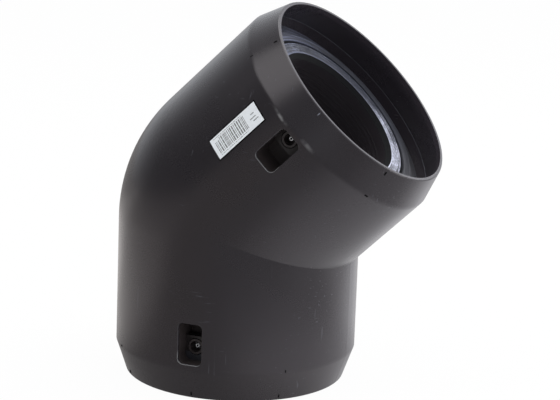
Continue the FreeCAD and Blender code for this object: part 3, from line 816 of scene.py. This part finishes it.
# How bright the floor looks in the object's sheen, by place, and the most that these add up to.
FLOOR_TOP = 1.3
FLOOR_FRONT = 0.4
FLOOR_BACK = 0.29
FLOOR_NEAR = 0.26
FLOOR_RIGHT = 0.58
FLOOR_LEFT = 0.2
WARM_SHEEN = (1.0, 0.96, 0.94, 1.0)
COOL_SHEEN = (0.98, 0.98, 1.02, 1.0)


def floor_sheen(finish):
    """The floor as the object's sheen shows it: brighter at the right, at the back and at the left."""
    across, behind, height = finish.axes(finish.place())
    away = (across * across + behind * behind) ** 0.5
    right = finish.between(across, 0.0, 0.2) * (1 - finish.between(across, 0.32, 0.5) * 0.54)
    right = right * (1 - finish.between(across, 1.2, 2.0)) * finish.between(behind, -0.58, -0.08)
    left = finish.between(behind * 0.5 - across, 0.1, 0.32) * (1 - finish.between(behind, 0.5, 1.0))
    left = left * (1 - finish.between(away, 0.8, 1.5) * 0.5)
    near = 1 - finish.between(away, 0.5, 1.0)
    back = finish.band(behind, 0.3, 0.5, 0.2)
    level = right * FLOOR_RIGHT + left * (near * FLOOR_NEAR + FLOOR_LEFT) + back * FLOOR_BACK + FLOOR_FRONT
    tint = finish.mix(finish.between(across, -0.3, 0.3), WARM_SHEEN, COOL_SHEEN)
    return finish.mix(level / FLOOR_TOP, BLACK, tint)


def studio_floor():
    """A pale floor that looks white to the camera and keeps a soft shadow."""
    mesh = bpy.data.meshes.new("floor")
    far = FLOOR_REACH
    mesh.from_pydata([(-far, -far, 0), (far, -far, 0), (far, far, 0), (-far, far, 0)], [], [(0, 1, 2, 3)])
    floor = bpy.data.objects.new("floor", mesh)
    floor.location.z = cad_box[0].z - FLOOR_GAP
    bpy.context.collection.objects.link(floor)
    finish = Finish("floor_paint", Base_Color=(0.8, 0.8, 0.8, 1.0), Roughness=0.9, Specular_IOR_Level=0.0)
    seen = finish.node("ShaderNodeLightPath", output="Is Camera Ray")
    mirrored = finish.node("ShaderNodeLightPath", output="Is Glossy Ray")
    glow = finish.node("ShaderNodeEmission", {}, {"Color": WHITE, "Strength": 1.0})
    sheen = finish.node("ShaderNodeEmission", {}, {"Color": floor_sheen(finish), "Strength": FLOOR_TOP})
    paint = Value(finish, finish.shader.outputs[0])
    blend = finish.node("ShaderNodeMixShader", {}, {0: mirrored, 1: paint, 2: sheen})
    blend = finish.node("ShaderNodeMixShader", {}, {0: seen * FLOOR_GLOW, 1: blend, 2: glow})
    finish.tree.links.new(blend.socket, finish.tree.nodes["Material Output"].inputs["Surface"])
    mesh.materials.append(finish.material)


# How bright the room is in front and at the back, how much its right adds and its left takes away,
# and the most that these add up to.
ROOM_TOP = 1.7
ROOM_FRONT = 0.31
ROOM_BACK = 1.08
ROOM_RIGHT = 0.56
ROOM_LEFT = 0.13
ROOM_TINT = (0.97, 1.0, 1.05, 1.0)


def studio_world():
    """Pale light from all round, dimmer in front and at the left, and white to the camera."""
    world = bpy.data.worlds.new("studio")
    world.use_nodes = True
    room = Nodes(world.node_tree)
    across, behind, height = room.axes(room.node("ShaderNodeTexCoord", output="Generated"))
    level = ROOM_FRONT + (ROOM_BACK - ROOM_FRONT) * room.between(behind, -0.2, 1.0)
    level = level + ROOM_RIGHT * room.between(across, 0.0, 0.9)
    level = level - ROOM_LEFT * (1 - room.between(across, -0.8, 0.0))
    seen = room.node("ShaderNodeLightPath", output="Is Camera Ray")
    shown = room.mix(level / ROOM_TOP, BLACK, ROOM_TINT)
    shown = room.mix(seen, shown, (1 / ROOM_TOP, 1 / ROOM_TOP, 1 / ROOM_TOP, 1.0))
    background = room.tree.nodes["Background"]
    background.inputs["Strength"].default_value = ROOM_TOP
    room.tree.links.new(shown.socket, background.inputs["Color"])
    bpy.context.scene.world = world


# Soft lamps: name, place, aim, width, height, watts.
LAMPS = [
    ("top_softbox", (0.3, 0.6, 2.2), (0.1, 0.1, 0.0), 2.6, 2.6, 38),
    ("back_right_wall", (2.4, 1.9, 0.7), (0.1, 0.0, 0.25), 3.0, 2.0, 52),
    ("front_key", (-1.75, -1.6, 2.6), (0.05, 0.0, 0.25), 3.0, 1.8, 25),
]


def add_lamps():
    for name, place, aim, width, height, watts in LAMPS:
        lamp = bpy.data.lights.new(name, "AREA")
        lamp.shape = "RECTANGLE"
        lamp.size = width
        lamp.size_y = height
        lamp.energy = watts
        thing = bpy.data.objects.new(name, lamp)
        thing.location = place
        thing.rotation_mode = "QUATERNION"
        thing.rotation_quaternion = (Vector(aim) - Vector(place)).to_track_quat("-Z", "Y")
        bpy.context.collection.objects.link(thing)


# The photograph's camera: angles in degrees, distance, aim and reach in metres, lens and sensor in
# millimetres.
CAMERA_AZIMUTH = 21.777
CAMERA_ELEVATION = 13.913
CAMERA_ROLL = 2.127
CAMERA_DISTANCE = 2.76408
CAMERA_AIM = Vector((0.05088, 0.0, 0.21284))
CAMERA_REACH = 50.0
CAMERA_LENS = 151.412
CAMERA_SENSOR = 36.0


def add_camera():
    azimuth = math.radians(CAMERA_AZIMUTH)
    elevation = math.radians(CAMERA_ELEVATION)
    roll = math.radians(CAMERA_ROLL)
    back = Vector((math.sin(azimuth) * math.cos(elevation), -math.cos(azimuth) * math.cos(elevation),
                   math.sin(elevation)))
    right = Vector((0, 0, 1)).cross(back).normalized()
    up = back.cross(right)
    across = right * math.cos(roll) + up * math.sin(roll)
    upward = up * math.cos(roll) - right * math.sin(roll)
    data = bpy.data.cameras.new("camera")
    data.sensor_width = CAMERA_SENSOR
    data.lens = CAMERA_LENS
    data.clip_end = CAMERA_REACH
    camera = bpy.data.objects.new("camera", data)
    turn = Matrix((across, upward, back)).transposed().to_4x4()
    camera.matrix_world = Matrix.Translation(CAMERA_AIM + back * CAMERA_DISTANCE) @ turn
    bpy.context.collection.objects.link(camera)
    bpy.context.scene.camera = camera


def dress_nodes(elbow):
    """Give every solid its finish."""
    ring = ring_plastic()
    well = well_plastic()
    pin = pin_metal()
    wire = heating_wire()
    dress("outer_jacket", jacket_plastic())
    dress("inner_elbow", elbow)
    dress("insulation_foam", foam())
    dress("pipe_label", label_film())
    dress("link_wire", wire)
    for name in ARMS:
        dress(f"centring_ring_{name}", ring)
        dress(f"terminal_well_{name}", well)
        dress(f"terminal_pin_{name}", pin)
        dress(f"heating_coil_{name}", wire)


def add_pieces(elbow):
    """The fine work that the solids don't have."""
    # Painted highlight: the flash line's pale grey stands in for the light along its ridge.
    flash = plain_plastic("flash_plastic", 92, 0.4)
    # Painted shade: a dark, dull sheet over each lead-in, as dark as the shaded bore.
    lead_in = plain_plastic("lead_in_plastic", 22, 0.6, shine=0.1)
    for name in ARMS:
        add_scraped_face(name, elbow)
        add_flash_line(name, flash)
        add_lead_in_shade(name, lead_in)
    add_ticks(plain_plastic("tick_dark", 8, 0.7, shine=0.15), plain_plastic("tick_light", 120, 0.4))
    print_on_label(label_ink())
    # Painted shadow: a dark strip that shows round the label's edge.
    add_label_shadow(plain_plastic("label_edge_dark", 8, 0.9, shine=0.1))


elbow_finish = elbow_plastic()
dress_nodes(elbow_finish)
add_pieces(elbow_finish)
studio_floor()
studio_world()
add_lamps()
add_camera()
bpy.context.scene.view_settings.view_transform = "Standard"
